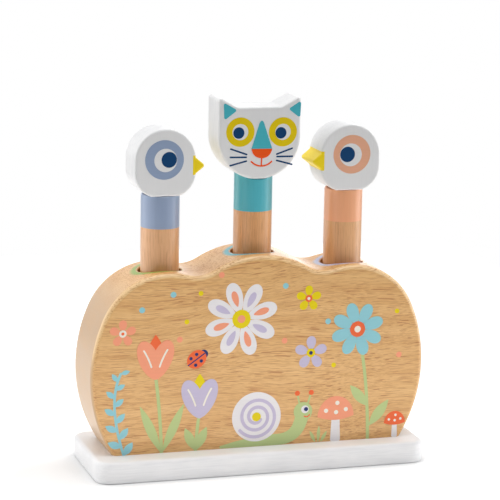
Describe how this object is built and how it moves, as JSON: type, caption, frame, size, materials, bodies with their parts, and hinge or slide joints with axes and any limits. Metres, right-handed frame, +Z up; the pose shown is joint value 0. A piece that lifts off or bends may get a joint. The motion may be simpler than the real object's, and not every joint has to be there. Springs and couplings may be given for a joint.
{
  "type": "pop up animal toy",
  "caption": "Wooden pop up toy: animal heads on round pegs that stand on springs in the bores of a lobed block, on a painted base plate.",
  "frame": {"origin": "middle of the base plate's underside", "axes": "+Z up, +X along the block to the right seen from the front, the animals face -Y"},
  "size_m": [0.198, 0.0684, 0.2121],
  "materials": {
    "block_wood": "natural pale hardwood with a satin clear coat",
    "dowel_wood": "natural pale hardwood dowel, satin",
    "white_paint": "wood with a satin white paint",
    "print_ink": "flat printed and painted colours on wood",
    "zinc_steel": "zinc plated",
    "spring_steel": "bright spring wire"
  },
  "bodies": {
    "block": {"block": "block_wood", "base_plate": "white_paint", "base_screws": "zinc_steel", "left_spring_screw": "zinc_steel", "middle_spring_screw": "zinc_steel", "right_spring_screw": "zinc_steel"},
    "left_washer": {"left_spring_washer": "zinc_steel"},
    "left_spring": {"left_spring": "spring_steel"},
    "left_peg": {"left_peg": "dowel_wood", "left_head_pin": "dowel_wood", "left_bird_head": "white_paint"},
    "middle_washer": {"middle_spring_washer": "zinc_steel"},
    "middle_spring": {"middle_spring": "spring_steel"},
    "middle_peg": {"middle_peg": "dowel_wood", "middle_head_pin": "dowel_wood", "cat_head": "white_paint"},
    "right_washer": {"right_spring_washer": "zinc_steel"},
    "right_spring": {"right_spring": "spring_steel"},
    "right_peg": {"right_peg": "dowel_wood", "right_head_pin": "dowel_wood", "right_bird_head": "white_paint"}
  },
  "joints": [
    {"name": "left_spin", "type": "hinge", "parent": "block", "child": "left_washer", "pos_m": [-0.05463, 0, 0.0136], "axis": [0, 0, 1], "continuous": true},
    {"name": "left_press", "type": "slide", "parent": "left_washer", "child": "left_spring", "axis": [0, 0, 1], "range_m": [-0.04, 0], "stiffness_N_per_m": 150, "springref_m": 0.0033, "deforming": ["left_spring"]},
    {"name": "left_lift", "type": "slide", "parent": "left_spring", "child": "left_peg", "axis": [0, 0, 1], "range_m": [0, 0.08]},
    {"name": "middle_spin", "type": "hinge", "parent": "block", "child": "middle_washer", "pos_m": [0, 0, 0.0136], "axis": [0, 0, 1], "continuous": true},
    {"name": "middle_press", "type": "slide", "parent": "middle_washer", "child": "middle_spring", "axis": [0, 0, 1], "range_m": [-0.04, 0], "stiffness_N_per_m": 150, "springref_m": 0.0041, "deforming": ["middle_spring"]},
    {"name": "middle_lift", "type": "slide", "parent": "middle_spring", "child": "middle_peg", "axis": [0, 0, 1], "range_m": [0, 0.08]},
    {"name": "right_spin", "type": "hinge", "parent": "block", "child": "right_washer", "pos_m": [0.05463, 0, 0.0136], "axis": [0, 0, 1], "continuous": true},
    {"name": "right_press", "type": "slide", "parent": "right_washer", "child": "right_spring", "axis": [0, 0, 1], "range_m": [-0.04, 0], "stiffness_N_per_m": 150, "springref_m": 0.0033, "deforming": ["right_spring"]},
    {"name": "right_lift", "type": "slide", "parent": "right_spring", "child": "right_peg", "axis": [0, 0, 1], "range_m": [0, 0.08]}
  ]
}
